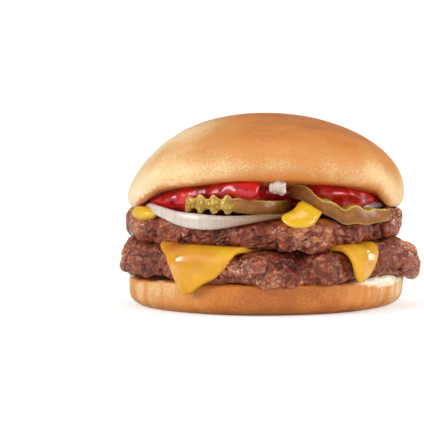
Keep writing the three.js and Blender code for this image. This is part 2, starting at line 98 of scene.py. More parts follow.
HANGING_DROP = dict(deep=6, high=9.2, slope=0.4, curl=0.022, lean=0.95)
FLAT_DROP = dict(deep=7, high=5.4, slope=0, curl=0, lean=0)
MUSTARDS = dict(
    mustard_front=dict(HANGING_DROP, at=285, radius=52, z=37.9, along=18.5, seed=120),
    mustard_left=dict(FLAT_DROP, at=205, radius=50.4, z=35.9, along=18, seed=130),
    mustard_back=dict(FLAT_DROP, at=100, radius=49.4, z=35.2, along=17, seed=140),
)
# How far apart the beef's clumps, grains, pores, holes and blocks are, and the most that the lower
# patty's side may be pushed out.
BEEF = dict(
    clump=10.0, grain=3.6, fine_grain=1.5, pore=0.9, hole=2.6, block=9.5, small_block=5, most_push=1.5
)

# Stretches of the full turn: the angles where each begins, is full, fades and ends.
HEEL_COVERED = (185, 195, 306, 316)
CROWN_FRONT = (175, 195, 345, 360)
CROWN_STAINED = (186, 205, 322, 352)
ONION_GLASSY = (236, 288, 300, 340)
BEHIND_HANGING_PICKLE = (265.5, 269, 288, 296)
BEHIND_BOTH_PICKLES = (228, 238, 300, 320)


# ---------- Formulas that the pieces share ----------


def smooth(x, low, high):
    """0 below low, 1 above high, and 3t^2 - 2t^3 of the share t between them."""
    t = np.clip((np.asarray(x, float) - low) / (high - low), 0, 1)
    return t * t * (3 - 2 * t)


def within(x, start, full, fading, gone):
    """1 from full to fading, 0 before start and past gone, with smooth steps between."""
    return smooth(x, start, full) * (1 - smooth(x, fading, gone))


def powered(x, power):
    """A power of the size of x, with the sign of x."""
    return np.sign(x) * np.abs(x) ** power


def bump(angle, at, width):
    """A bell over the angle: e to the power of minus the squared distance over the width."""
    off = (angle - at + 540) % 360 - 180
    return np.exp(-((off / width) ** 2))


def bells(angle, rows):
    """The sum of bells over the angle, each given by its middle, its width and its height."""
    return sum(high * bump(angle, at, width) for at, width, high in rows)


def lobed(piece, angle):
    """A piece's outline: its radius plus one bell for each lobe."""
    return piece["radius"] + bells(angle, piece["lobes"])


def side_rise(x):
    """Fillings lie higher at the left and right ends: 1.8 mm times the square of x over 52 mm."""
    return 1.8 * (x / 52) ** 2


def crown_underside(x, y):
    """Height of the crown's cut face: a slight arch across, a lift at the back, a larger lift that
    grows to the front as a power of the distance, and that lift taken back at the two ends."""
    c = CROWN
    droop = np.where(x < 0, 0.75 * smooth(-x, *c["left_fall"]), 0.95 * smooth(x, *c["right_fall"]))
    tilt = np.maximum((c["lift_start"] - y) / (c["lift_start"] + 50), 0) ** 1.3
    arch = c["cross_arch"] * (1 - (x / c["radius"]) ** 2)
    back = c["back_lift"] * smooth(y, -5, 30)
    ends = np.where(x < 0, c["left_droop"], c["right_droop"]) * smooth(np.abs(x), 42, 50)
    return c["resting_rim"] + arch + back - ends + c["front_lift"] * tilt * (1 - droop)


def mixed(cells, seed):
    """An even random number from 0 to 1 for each whole-number cell: its coordinates times large odd
    numbers, with the high bits folded onto the low ones twice."""
    c = cells.astype(np.int64).astype(np.uint64)
    h = c[..., 0] * np.uint64(0x9E3779B185EBCA87)
    h = h ^ (c[..., 1] * np.uint64(0xC2B2AE3D27D4EB4F))
    h = h ^ (c[..., 2] * np.uint64(0x165667B19E3779F9))
    h = h + np.array([seed], np.uint64) * np.uint64(0x27D4EB2F165667C5)
    for factor in (0xFF51AFD7ED558CCD, 0xC4CEB9FE1A85EC53):
        h = (h ^ (h >> np.uint64(33))) * np.uint64(factor)
    return ((h ^ (h >> np.uint64(33))) >> np.uint64(11)).astype(float) / 2.0**53


def waves(points, size, seed):
    """Smooth random heights from -1 to 1 on cells of a size in mm: the numbers at a cell's eight
    corners, blended by the curve 6t^5 - 15t^4 + 10t^3 of the place in the cell."""
    p = points / size
    cell = np.floor(p)
    t = p - cell
    t = t**3 * (t * (6 * t - 15) + 10)
    total = 0
    for corner in itertools.product((0, 1), repeat=3):
        total = total + np.abs(1 - np.array(corner) - t).prod(-1) * mixed(cell + corner, seed)
    return 2 * total - 1


def crumbs(points, size, seed):
    """Distances from each place to the nearest and second nearest of one random point per cell,
    over the cell's size."""
    p = points / size
    cell = np.floor(p)
    near = np.full(p.shape[:-1], 9.0)
    second = near.copy()
    for step in itertools.product((-1, 0, 1), repeat=3):
        c = cell + step
        spot = c + np.stack([mixed(c, seed + n) for n in (0, 1, 2)], -1)
        d = np.linalg.norm(p - spot, axis=-1)
        second = np.minimum(second, np.maximum(near, d))
        near = np.minimum(near, d)
    return near, second


# ---------- Making meshes ----------


def outward(points):
    """Unit normals of a grid of rings: the cross product of its steps round and along, taken over
    both neighbours."""
    n = np.cross(np.roll(points, -1, 1) - np.roll(points, 1, 1), np.gradient(points, axis=0))
    return n / np.maximum(np.linalg.norm(n, axis=-1, keepdims=True), 1e-9)


def pushed(points, amount):
    """Each point moved by an amount along its normal."""
    return points + outward(points) * amount[..., None]


def from_axis(points):
    """How far points are from the burger's axis."""
    return np.hypot(points[..., 0], points[..., 1])


def shown(name, data):
    """A new object in the scene that shows a mesh, a light or what a camera sees."""
    thing = bpy.data.objects.new(name, data)
    bpy.context.scene.collection.objects.link(thing)
    return thing


def ball(cols, rows):
    """Unit vectors all over a ball, in rings from its foot to its head."""
    up = np.radians(np.linspace(-90, 90, rows))[:, None]
    return place(np.cos(up), around(cols), np.sin(up))


def make_piece(name, node, material, points, fields, closed_ends):
    """Puts a surface of rings into a mesh in metres, smooth shaded, with named fields of values, hangs
    it under the root body and hides the node's CAD part."""
    verts, faces = ringed(points, closed_ends)
    mesh = bpy.data.meshes.new(name)
    mesh.from_pydata(((verts + AXIS) * MM).tolist(), [], faces)
    mesh.polygons.foreach_set("use_smooth", np.ones(len(faces), bool))
    for key, values in fields:
        values = ring_values(values) if closed_ends else values.ravel()
        layer = mesh.attributes.new(key, "FLOAT", "POINT")
        layer.data.foreach_set("value", values.astype(np.float32))
    mesh.update()
    mesh.materials.append(material)
    piece = shown(name, mesh)
    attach(piece, "root")
    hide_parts(node)


def ringed(points, closed_ends):
    """Corners and faces of a surface given as rows of rings. With closed ends the first and last
    row shrink to their middles, joined to their neighbours by fans; otherwise the rows close on
    each other as a tube bent into a ring."""
    if closed_ends:
        ends = [points[0].mean(0), points[-1].mean(0)]
        points = points[1:-1]
    rows, cols = points.shape[:2]
    a = np.arange(cols)
    b = (a + 1) % cols
    r = np.arange(rows - closed_ends)[:, None] * cols
    s = (r + cols) % (rows * cols)
    verts, faces = points.reshape(-1, 3), np.stack([r + a, r + b, s + b, s + a], -1)
    faces = faces.reshape(-1, 4).tolist()
    if closed_ends:
        first, last, top = rows * cols, rows * cols + 1, (rows - 1) * cols
        verts = np.vstack([verts, *ends])
        faces += [[first, int(j), int(i)] for i, j in zip(a, b)]
        faces += [[last, int(top + i), int(top + j)] for i, j in zip(a, b)]
    return verts, faces


def ring_values(values):
    """A grid's values in the corners' order that ringed() gives."""
    return np.concatenate([values[1:-1].ravel(), values[0, :1], values[-1, :1]])


def around(count):
    """Evenly spaced angles of a full turn, as one row."""
    return np.linspace(0, 360, count, endpoint=False)[None, :]


def section(inside, rim, up):
    """The rows of a disc's section, as shares of its reach and heights from -1 to 1: the lower face
    from its middle, round the rim, and the upper face back to its middle."""
    share = np.concatenate([inside, rim, inside[::-1]])[:, None]
    return share, np.concatenate([0 * inside - 1, up, 0 * inside + 1])[:, None]


def place(radius, angle, height):
    """Points at a radius, an angle and a height."""
    turn = np.radians(angle)
    return np.stack(np.broadcast_arrays(radius * np.cos(turn), radius * np.sin(turn), height), -1)


# ---------- Materials ----------


def linear(r, g, b):
    """A colour of 0 to 255 as seen on a screen, as the linear values that a shader takes."""
    c = np.array([r, g, b]) / 255
    c = np.where(c <= 0.04045, c / 12.92, ((c + 0.055) / 1.055) ** 2.4)
    return (*c.tolist(), 1.0)


class Nodes:
    """A node tree on Object coordinates, with short ways to add nodes and link them."""

    def __init__(self, tree):
        self.tree = tree
        self.coords = tree.nodes.new("ShaderNodeTexCoord").outputs["Object"]

    def add(self, kind, inputs=(), **settings):
        """A node of a kind, with values or links for its inputs, and its settings."""
        node = self.tree.nodes.new(kind)
        for key, value in settings.items():
            setattr(node, key, value)
        for socket, value in dict(inputs).items():
            self.put(node.inputs[socket], value)
        return node

    def put(self, socket, value):
        """Links a socket or sets its value. A colour of three numbers is one as seen on a screen."""
        if isinstance(value, bpy.types.NodeSocket):
            self.tree.links.new(value, socket)
        elif socket.type == "RGBA" and len(value) == 3:
            socket.default_value = linear(*value)
        else:
            socket.default_value = value

    def noise(self, per_metre, detail=3.0, rough=0.55, stretch=(1, 1, 1)):
        """Random waves from 0 to 1, so many to the metre."""
        scaled = self.add("ShaderNodeMapping", {"Vector": self.coords, "Scale": stretch})
        inputs = {"Vector": scaled.outputs[0], "Scale": per_metre, "Detail": detail, "Roughness": rough}
        return self.add("ShaderNodeTexNoise", inputs).outputs["Fac"]

    def cells(self, per_metre):
        """Distance to the nearest of random points, so many to the metre."""
        inputs = {"Vector": self.coords, "Scale": per_metre}
        return self.add("ShaderNodeTexVoronoi", inputs).outputs["Distance"]

    def span(self, value, low, high, to_low=0.0, to_high=1.0):
        """A value between two limits carried to two others, and held there beyond them."""
        inputs = {"Value": value, "From Min": low, "From Max": high, "To Min": to_low, "To Max": to_high}
        return self.add("ShaderNodeMapRange", inputs).outputs[0]

    def plus(self, a, b):
        """The sum of two values."""
        return self.add("ShaderNodeMath", {0: a, 1: b}, operation="ADD").outputs[0]

    def times(self, a, b):
        """The product of two values."""
        return self.add("ShaderNodeMath", {0: a, 1: b}, operation="MULTIPLY").outputs[0]

    def mix(self, share, a, b):
        """The colour a, with a share of b."""
        node = self.add("ShaderNodeMix", data_type="RGBA")
        for socket, value in ((0, share), (6, a), (7, b)):
            self.put(node.inputs[socket], value)
        return node.outputs[2]

    def ramp(self, value, stops):
        """Colours at places from 0 to 1, blended between them."""
        node = self.add("ShaderNodeValToRGB", {"Fac": value})
        elements = node.color_ramp.elements
        while len(elements) < len(stops):
            elements.new(0.5)
        for element, (at, colour) in zip(elements, stops):
            element.position, element.color = at, linear(*colour)
        return node.outputs[0]

    def field(self, name):
        """The piece's own values under a name."""
        return self.add("ShaderNodeAttribute", attribute_name=name).outputs["Fac"]

    def relief(self, height, depth_mm, normal=None):
        """A bump of a depth in millimetres for heights from 0 to 1."""
        inputs = {"Height": height, "Distance": depth_mm * MM}
        return self.add("ShaderNodeBump", inputs | ({"Normal": normal} if normal else {})).outputs[0]


class Finish(Nodes):
    """A material: the Principled shader and what feeds it."""

    def __init__(self, name):
        self.material = bpy.data.materials.new(name)
        self.material.use_nodes = True
        tree = self.material.node_tree
        tree.nodes.clear()
        super().__init__(tree)
        out = tree.nodes.new("ShaderNodeOutputMaterial")
        self.skin = tree.nodes.new("ShaderNodeBsdfPrincipled")
        tree.links.new(self.skin.outputs[0], out.inputs[0])

    def use(self, effect, **values):
        """Places a shared effect with this material's own values, and gives its one output."""
        node = self.add("ShaderNodeGroup", node_tree=bpy.data.node_groups[effect])
        for name, value in values.items():
            self.put(node.inputs[name.replace("_", " ")], value)
        return node.outputs[0]

    def sink(self, share, red, green, blue):
        """The share of light that goes under the skin, and how deep its colours go, in mm."""
        depths = (red * MM, green * MM, blue * MM)
        self.done(Subsurface_Weight=share, Subsurface_Radius=depths, Subsurface_Scale=1.0)

    def done(self, **sockets):
        """Feeds the shader's sockets."""
        for name, value in sockets.items():
            self.put(self.skin.inputs[name.replace("_", " ")], value)
        return self.material


def effect(name, output, **inputs):
    """An empty group with one output, named for what it gives, and named inputs with their first
    values: a colour where that is four numbers, otherwise an amount. Gives its nodes and ends."""
    group = bpy.data.node_groups.new(name, "ShaderNodeTree")
    kinds = {"Colour": "NodeSocketColor", "Amount": "NodeSocketFloat", "Bend": "NodeSocketVector"}
    group.interface.new_socket(name=output, in_out="OUTPUT", socket_type=kinds[output])
    for key, value in inputs.items():
        kind = kinds["Colour" if isinstance(value, tuple) else "Amount"]
        key = key.replace("_", " ")
        group.interface.new_socket(name=key, in_out="INPUT", socket_type=kind).default_value = value
    nodes = Nodes(group)
    return nodes, nodes.add("NodeGroupInput").outputs, nodes.add("NodeGroupOutput").inputs[0]


def mottle_effect():
    """Two colours in soft patches: waves, carried from one to the other over their middle third."""
    white, black = (1, 1, 1, 1), (0, 0, 0, 1)
    n, given, out = effect("mottle", "Colour", First=white, Second=black, Patches=200.0)
    n.put(out, n.mix(n.span(n.noise(given["Patches"]), 0.35, 0.65), given["First"], given["Second"]))


def streak_effect():
    """A share from 0 to 1 in thin upright streaks: waves stretched along Z."""
    n, given, out = effect("upright streaks", "Amount", Streaks=900.0)
    n.put(out, n.span(n.noise(given["Streaks"], 3.0, 0.6, (1, 1, 0.12)), 0.36, 0.66))


def wet_effect():
    """Roughness that changes in patches between a wet value and a dry one."""
    n, given, out = effect("wet patches", "Amount", Patches=300.0, Wet=0.2, Dry=0.5)
    share = n.span(n.noise(given["Patches"], 3.0, 0.6), 0.4, 0.62)
    n.put(out, n.span(share, 0.0, 1.0, given["Dry"], given["Wet"]))


def grain_effect():
    """A normal bent by small dents of two sizes: fine waves and cells twice as far apart."""
    depths = dict(Fine_Depth=0.0001, Coarse_Depth=0.0001)
    n, given, out = effect("grain", "Bend", Grains=1500.0, **depths)
    fine = n.add("ShaderNodeBump", {"Height": n.noise(given["Grains"]), "Distance": given["Fine Depth"]})
    coarse = n.cells(n.times(given["Grains"], 0.5))
    inputs = {"Height": coarse, "Distance": given["Coarse Depth"], "Normal": fine.outputs[0]}
    n.put(out, n.add("ShaderNodeBump", inputs).outputs[0])


def bun_material():
    """Baked dough: browner with height over the rim, pale towards the rim, with fine pores, light
    flecks, open crumb on the cut faces, and orange-brown stains that run up in streaks. Its brown
    field also holds painted light, paler on the sides where the side lamps fall, and painted shade
    in the heel's creases."""
    s = Finish("baked bun")
    crumb = s.field("crumb")
    fine = s.noise(1500, 4, 0.75)
    level = s.plus(s.field("baked"), s.span(s.noise(71, 3, 0.5), 0.3, 0.7, -0.09, 0.09))
    level = s.plus(level, s.span(fine, 0.4, 0.6, -0.085, 0.085))
    browns = [(0.0, (250, 228, 190)), (0.3, (238, 199, 144)), (0.55, (215, 147, 79))]
    browns += [(0.8, (214, 131, 54)), (1.0, (182, 102, 44))]
    skin = s.ramp(level, browns)
    flecks = s.span(s.cells(590), 0.16, 0.06)
    skin = s.mix(s.times(flecks, 0.28), skin, (252, 228, 184))
    skin = s.mix(s.field("stain"), skin, (220, 128, 54))
    pale, tan = (255, 250, 236), (250, 226, 186)
    open_crumb = s.use("mottle", First=pale, Second=tan, Patches=330.0)
    rough = s.plus(s.times(crumb, 0.35), s.span(fine, 0.3, 0.7, 0.42, 0.56))
    pores = s.use("grain", Grains=1800.0, Fine_Depth=0.00006, Coarse_Depth=0.00003)
    s.sink(0.12, 4, 2, 1)
    return s.done(
        Base_Color=s.mix(crumb, skin, open_crumb),
        Roughness=rough,
        Normal=s.relief(s.times(s.cells(900), crumb), 0.4, pores),
        Specular_IOR_Level=0.35,
    )


def beef_material():
    """Seared ground beef: dark in the cracks as painted shade, red-brown on the grains and tan on their
    tops as painted light, lighter and darker in spots of painted light and shade, with redder and
    greyer stretches, orange-brown drippings beside the sauce that are partly painted shade, tiny
    pale specks that are painted glints, and a wet shine."""
    s = Finish("seared beef")
    grain = s.noise(1300, 4, 0.7)
    level = s.plus(s.field("pit"), s.span(grain, 0.3, 0.7, -0.22, 0.22))
    browns = [(0.05, (58, 24, 20)), (0.3, (112, 48, 32)), (0.52, (158, 82, 54))]
    browns += [(0.72, (206, 130, 88)), (0.95, (248, 200, 158))]
    meat = s.ramp(level, browns)
    meat = s.mix(s.span(s.noise(143, 2, 0.5), 0.4, 0.65, 0.0, 0.5), meat, (128, 50, 36))
    meat = s.mix(s.span(s.noise(200, 3, 0.6), 0.52, 0.72, 0.0, 0.25), meat, (120, 84, 62))
    meat = s.mix(s.times(s.field("juice"), 0.75), meat, (176, 92, 30))
    # Painted glints: tiny pale specks where the spots of painted light are lighter.
    specks = s.times(s.span(s.cells(1000), 0.36, 0.16, 0.0, 0.95), s.field("fat"))
    meat = s.mix(specks, meat, (255, 226, 196))
    glazed = s.times(s.span(s.noise(420, 2, 0.5), 0.46, 0.58), s.span(level, 0.35, 0.6, 0.3))
    s.sink(0.08, 3, 1, 0.6)
    return s.done(
        Base_Color=meat,
        Roughness=s.use("wet patches", Patches=310.0, Wet=0.22, Dry=0.48),
        Normal=s.use("grain", Grains=850.0, Fine_Depth=0.00045, Coarse_Depth=0.0003),
        Specular_IOR_Level=0.4,
        Specular_Tint=(1.0, 0.84, 0.7, 1.0),
        Coat_Weight=glazed,
        Coat_Roughness=0.1,
    )


def cheese_material():
    """Soft orange-yellow cheese: amber in soft patches, darker orange-brown at one fold as painted
    shade under the upper patty, and glossy only where it is wet."""
    s = Finish("melted cheese")
    yellow, amber = (230, 172, 30), (214, 144, 20)
    plain = s.use("mottle", First=yellow, Second=amber, Patches=110.0)
    s.sink(0.4, 5, 2.4, 0.6)
    return s.done(
        # Darker orange-brown at the fold: painted shade under the upper patty.
        Base_Color=s.mix(s.field("juice"), plain, (190, 98, 24)),
        Roughness=s.span(s.field("wet"), 0.0, 0.8, 0.48, 0.12),
        Normal=s.use("grain", Grains=400.0, Fine_Depth=0.00006, Coarse_Depth=0.0),
        Specular_IOR_Level=0.4,
        Coat_Weight=s.span(s.field("wet"), 0.3, 0.85),
        Coat_Roughness=0.06,
        Coat_IOR=1.7,
    )


def onion_material():
    """Wet white onion with fine upright streaks, brownish where it is see-through and shows what lies
    behind, which on the large ring's front right is also painted shade under the crown."""
    s = Finish("raw onion")
    streaks = s.use("upright streaks", Streaks=620.0)
    white = s.mix(streaks, (228, 216, 208), (210, 195, 184))
    s.sink(0.5, 3, 3, 2.5)
    return s.done(
        # Brownish where see-through, and along the large ring's front right also painted shade under the
        # crown.
        Base_Color=s.mix(s.field("glassy"), white, (146, 108, 72)),
        Roughness=s.use("wet patches", Patches=300.0, Wet=0.12, Dry=0.24),
        Normal=s.relief(streaks, 0.05),
        Specular_IOR_Level=0.6,
    )


def pickle_material():
    """Pickled cucumber: an olive-brown skin with fine upright streaks, and yellow-green wet flesh,
    darker between its seeds, with a painted highlight, a pale line, along the edges of its faces."""
    s = Finish("pickle")
    flesh = s.field("flesh")
    skin = s.use("mottle", First=(146, 86, 30), Second=(164, 106, 40), Patches=380.0)
    streaks = s.times(s.use("upright streaks", Streaks=1250.0), 0.35)
    skin = s.mix(streaks, skin, (112, 66, 30))
    inside = s.mix(s.span(s.cells(670), 0.15, 0.6), (224, 196, 84), (168, 130, 46))
    # Painted highlight: pale flesh along the edges of the faces.
    inside = s.mix(s.field("edge"), inside, (240, 220, 134))
    s.sink(0.25, 3, 2.2, 0.8)
    return s.done(
        Base_Color=s.mix(flesh, skin, inside),
        Roughness=s.use("wet patches", Patches=380.0, Wet=0.28, Dry=0.42),
        Normal=s.relief(s.times(s.cells(770), flesh), 0.3),
        Specular_IOR_Level=0.4,
    )


def sauce_material(name, light, dark, coat):
    """A smooth sauce in two shades of its colour, wet in patches, under a thin clear coat."""
    s = Finish(name)
    s.sink(0.15, 2, 1, 0.4)
    return s.done(
        Base_Color=s.use("mottle", First=light, Second=dark, Patches=150.0),
        Roughness=s.use("wet patches", Patches=200.0, Wet=0.2, Dry=0.34),
        Normal=s.use("grain", Grains=500.0, Fine_Depth=0.00012, Coarse_Depth=0.0),
        Coat_Weight=coat,
        Coat_Roughness=0.05,
    )


# ---------- Bun ----------


def heel_surface(cols=320):
    """A flat foot, a corner that turns up as a quarter ellipse, a nearly upright wall, a small lip
    and a flat cut face. The wall leans in and out with the angle and is drawn in at its creases,
    which are narrow bells over the angle. Its upper edge rises and falls, is torn down to open crumb
    and is stained, by wider ones. It is paler to the left and the right, painted light where the
    side lamps fall, and darker along its creases, painted shade."""
    h = HEEL
    foot, radius, corner, top, lip = (h[k] for k in ("foot", "radius", "corner", "top", "lip"))
    turn = np.radians(np.linspace(0, 90, 15))
    profile = [(0, 0), (foot * 0.3, 0), (foot * 0.6, 0), (foot * 0.85, 0)]
    profile += list(zip(foot + (radius - 0.2 - foot) * np.sin(turn), corner * (1 - np.cos(turn))))
    profile += [(radius - 0.05, z) for z in np.linspace(corner + 0.8, top - 2.4, 5)]
    turn = np.radians(np.linspace(0, 90, 9))
    profile += list(zip(radius - lip * (1 - np.cos(turn)), top - lip * (1 - np.sin(turn))))
    profile += [(radius - share, top) for share in (3.2, 6, 12, 22, 34)] + [(0, top)]
    r, z = (np.array(v)[:, None] for v in zip(*profile))
    angle = around(cols)
    turn = np.radians(angle)
    wall = smooth(r, foot * 0.8, foot)
    uneven = 0.35 * np.sin(3 * turn + 0.6) + 0.25 * np.sin(7 * turn + 2)
    crease = bells(angle, h["creases"]) * smooth(z, 0.2, 2.5) * (1 - smooth(z, 9.5, top))
    slim = radius * h["slimmer_right"] * smooth(np.cos(turn), 0, 0.8) * (1 - z / top)
    raised = bells(angle, h["edge"]) * wall * smooth(z, top * 0.7, top)
    points = place(r + wall * (uneven - crease - slim), angle, z + raised)
    rough = 0.16 * waves(points, 9, 3) + 0.05 * waves(points, 2.4, 4)
    torn_edge = 0.3 + bells(angle, h["torn"])
    cut = smooth(z, top - torn_edge - 0.25, top - torn_edge + 0.25)
    torn = 0.35 * waves(points, 2.6, 5) + 0.25 * waves(points, 1.2, 6)
    foot_flat = smooth(z, 0.05, 1.2)
    points = pushed(points, rough * foot_flat * (1 - cut) + cut * torn * smooth(r, 20, 40))
    points[..., 2] = np.clip(points[..., 2], 0, top + raised + 0.25)
    squeezed, x = points * [1, 1, 0.12], points[..., 0]
    baked = 0.98 + 0.04 * (1 - smooth(z, 0, 5)) + 0.1 * waves(squeezed, 3.0, 9)
    # Painted light and shade: paler to the left and the right where the side lamps fall, and darker
    # along the creases.
    left = smooth(-x, 10, 38) * (0.44 + 0.1 * smooth(z, 2, 8))
    right = smooth(x, 18, 50) * (0.5 + 0.12 * smooth(z, 2, 8))
    streaky = waves(squeezed, 1.1, 10) * smooth(x, 14, 30)
    baked = baked - left - right + 0.3 * crease + 0.16 * streaky
    from_top = top + raised - points[..., 2]
    runs = 0.9 + 0.9 * waves(points * [1, 1, 0.1], 2.5, 8)
    stain = bells(angle, h["stained"]) * (1 - smooth(from_top, 0.3 * runs, 2.4 * runs)) * (r > 40)
    covered = within(angle, *HEEL_COVERED) * smooth(r, 44, 47)
    stain = np.clip(stain + 0.6 * covered * cut, 0, 1)
    return points, np.clip(baked, 0, 0.92), cut * (1 - covered), stain


def rim_bake(angle):
    """How brown the crown is at its rim: 0.1 more at the front than at the back, paler to the left
    as the squared cosine, less than half as much to the right, and browner in a bell right of the
    front. The paler sides are painted light where the side lamps fall."""
    turn = np.radians(angle)
    side_on = np.cos(turn) ** 2 * (1 - 0.55 * (np.cos(turn) > 0))
    return CROWN["rim_brown"] - 0.05 * np.sin(turn) - 0.34 * side_on + 0.15 * bump(angle, 294, 22)


def toasted_rim(points, angle, over_cut):
    """A stain of juice along the crown's cut edge at the front. It is full up to 0.3 and gone at 2.2
    of a height over the edge, and the height changes in upright streaks and by bells over the angle."""
    squeezed = points * [1, 1, 0.08]
    streaks = waves(squeezed, 1.6, 15) + 0.6 * waves(squeezed, 5, 16)
    high = np.maximum(0.8 + 0.75 * streaks + bells(angle, CROWN["stained"]), 0.15)
    return 0.8 * within(angle, *CROWN_STAINED) * (1 - smooth(over_cut, 0.3 * high, 2.2 * high))


def crown_surface(cols=360, dome_rows=96):
    """From the middle of the cut face out to the rim at the height crown_underside gives, round the
    rim as a quarter ellipse, and up the dome, a quarter ellipse from the widest level to the apex."""
    c = CROWN
    angle = around(cols)
    turn = np.radians(angle)
    cut_radius, radius, apex = c["cut_radius"], c["radius"], c["apex"]
    rim_z = crown_underside(cut_radius * np.cos(turn), cut_radius * np.sin(turn))
    widest = rim_z + c["rim_round"]
    uneven = 0.3 * np.sin(3 * turn + 2.2) + 0.25 * np.sin(5 * turn + 0.4)
    front, low = within(angle, *CROWN_FRONT), rim_bake(angle)
    leftness, rightness = np.maximum(-np.cos(turn), 0), np.maximum(np.cos(turn), 0)
    rows, none = [], 0 * angle
    for share in (0, 0.25, 0.5, 0.7, 0.85, 0.93, 0.98):
        flat = place(share * cut_radius, angle, 0)
        flat[..., 2] = crown_underside(flat[..., 0], flat[..., 1])
        crumb = 1 - smooth(share, 0.5, 0.7) * front
        rows.append((flat, crumb, 0.5 + none, -3 + 4 * share**8 + none))
    for a in np.linspace(0, 90, 14)[:-1]:
        q = math.radians(a)
        r = cut_radius + (radius - cut_radius) * math.sin(q)
        wider = 1 + c["wider_left"] * leftness
        over = c["rim_round"] * (1 - math.cos(q)) + none
        crumb = (1 - smooth(a, 0, 16)) * (1 - front)
        rows.append((place(r * wider + uneven, angle, rim_z + over), crumb, low, over))
    for a in np.linspace(0, 90, dome_rows):
        q = math.radians(a)
        fuller = 1 + (c["wider_left"] - c["slimmer_left"] * math.sin(2 * q)) * leftness
        fuller = fuller + c["fuller_right"] * math.sin(2 * q) * rightness
        reach = radius * math.cos(q) * fuller + uneven * math.cos(q) ** 2
        ring = place(reach, angle, widest + (apex - widest) * math.sin(q))
        ring[..., 1] += c["apex_back"] * math.sin(q) ** 2
        # Painted light: the left shoulder is paler where the left lamp falls.
        shoulder = 1 - 0.9 * math.sin(2 * q) ** 2 * smooth(leftness, 0, 0.95)
        baked = low + (c["top_brown"] - low) * smooth(math.sin(q), 0.02, 0.8) ** 0.8 * shoulder
        rows.append((ring, none, baked, c["rim_round"] + (apex - widest) * math.sin(q)))
    points, crumb, baked, over_cut = (np.concatenate(column) for column in zip(*rows))
    gentle = 0.35 * waves(points, 16, 11) + 0.12 * waves(points, 5, 12)
    torn = 0.3 * waves(points, 2.2, 13) + 0.2 * waves(points, 1.0, 14)
    skin = (1 - crumb) * gentle * smooth(apex - points[..., 2], 0, 4)
    points = pushed(points, skin + crumb * torn * smooth(from_axis(points), 30, 44))
    return points, baked, crumb, toasted_rim(points, angle, over_cut)


# ---------- Beef ----------


def patty_surface(patty, look, cols=900, side_rows=88):
    """A disc whose side is a rounded-off square section, with a lobed outline and drooping lips,
    pushed along its normals. The push adds soft blocks, two sizes of grains, each a dome over the
    distance to the nearest random point, cracks where the nearest and second nearest of coarse
    points are equally far, and a few small holes. Its shading field follows the push, darker in the
    cracks and holes and lighter on the blocks and grains, as painted shade and painted light. The
    look gives dents, bells over the angle and the level that draw the side in, spots of painted
    light and shade, such bells that make it lighter or darker, with painted glints where they are
    lighter, and orange-brown drippings that are partly painted shade, bells over the angle that
    begin at a level. The lower patty is pushed out less where the cheese hangs over it."""
    seed = look["seed"]
    angle = around(cols)
    turned = np.radians(np.linspace(-88, 88, side_rows))
    rounded = 1 - 0.11 * (1 - np.cos(turned) ** 0.75)
    share, level = section(np.linspace(0, 0.87, 12), rounded, powered(np.sin(turned), 0.9))
    level = 0.5 + 0.5 * level
    side = smooth(share, 0.8, 0.97)

    def spots(rows):
        """The sum of bells over both the angle and the level."""
        return sum(
            much * bump(angle, at, wide) * np.exp(-(((level - high) / tall) ** 2))
            for at, high, wide, tall, much in rows
        )

    reach = lobed(patty, angle) + side * spots(look["dents"])
    points = place(share * reach, angle, level)
    rise = side_rise(points[..., 0]) * (patty["bottom_rise"] + (1 - patty["bottom_rise"]) * level)
    drawn_down = bells(angle, patty["droops"]) + level * bells(angle, patty["shoulders"])
    points[..., 2] = patty["bottom"] + level * patty["height"] + rise - side * drawn_down
    warp = np.stack([waves(points, 3.0, seed + k) for k in (1, 2, 3)], -1)
    near, second = crumbs(points + 2.0 * warp, BEEF["clump"], seed + 10)
    grain = 0.5 - crumbs(points + 0.8 * warp, BEEF["grain"], seed + 20)[0]
    fine = 0.45 - crumbs(points + 0.3 * warp, BEEF["fine_grain"], seed + 30)[0]
    crack = 1 - smooth(second - near, 0.0, 0.1)
    crack = crack * smooth(waves(points, 9, seed + 60), -0.05, 0.4)
    holes = smooth(waves(points + 0.5 * warp, BEEF["hole"], seed + 70), 0.42, 0.62)
    blocks = waves(points, BEEF["block"], seed + 40)
    push = 1.2 * blocks + 0.8 * waves(points, BEEF["small_block"], seed + 45) + 0.9 * grain + 0.36 * fine
    push = push - 0.75 * crack - 0.5 * holes + 0.1 * waves(points, BEEF["pore"], seed + 80)
    if patty is LOWER:
        cover = smooth(lobed(CHEESE, angle), CHEESE["radius"] + 5, CHEESE["radius"] + 10)
        push = np.minimum(push, BEEF["most_push"] - 1.3 * cover * smooth(level, 0.1, 0.5))
    points = pushed(points, push * smooth(share, 0.75, 0.9))
    # Painted shade and light: darker in the cracks and holes, lighter on the raised blocks and grains.
    pit = 0.5 + 0.15 * blocks + 0.32 * grain + 0.34 * fine - 0.26 * crack - 0.22 * holes
    # Spots of painted light and shade.
    tone = spots(look["tones"])
    # Orange-brown drippings, partly painted shade where the fillings above shade the patty.
    juice = sum(
        much * bump(angle, at, width) * smooth(level, low, low + 0.3)
        for at, width, low, much in look["juices"]
    )
    juice = juice * smooth(waves(points, 3, seed + 90), -0.6, 0.3)
    return points, np.clip(pit + tone, 0, 1), np.clip(juice, 0, 1), np.clip(5 * tone, 0, 1)


